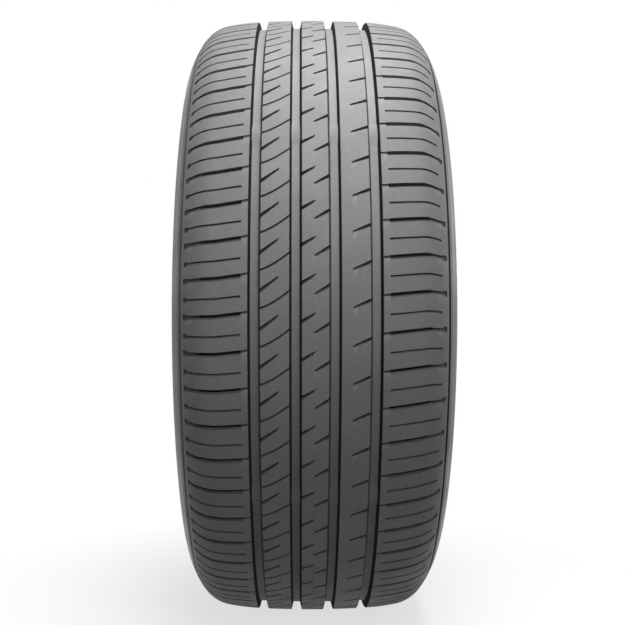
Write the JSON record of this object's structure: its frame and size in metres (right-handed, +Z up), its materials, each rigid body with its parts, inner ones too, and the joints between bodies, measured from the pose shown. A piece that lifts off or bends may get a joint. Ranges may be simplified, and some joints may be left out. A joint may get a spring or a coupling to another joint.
{
  "type": "car tyre",
  "caption": "Low-profile road car tyre, unmounted, with straight main grooves, slotted ribs and cross-grooved shoulder blocks.",
  "frame": {"origin": "centre of the wheel: on the spin axis, half way between the two beads", "axes": "+Y along the spin axis, towards the side that the picture shows on the right; +Z up, the tyre standing on its tread; +X towards the viewer"},
  "size_m": [0.6532, 0.254, 0.6532],
  "materials": {
    "rubber": "matt moulded rubber, new"
  },
  "bodies": {
    "root": {"tyre": "rubber"}
  },
  "joints": []
}
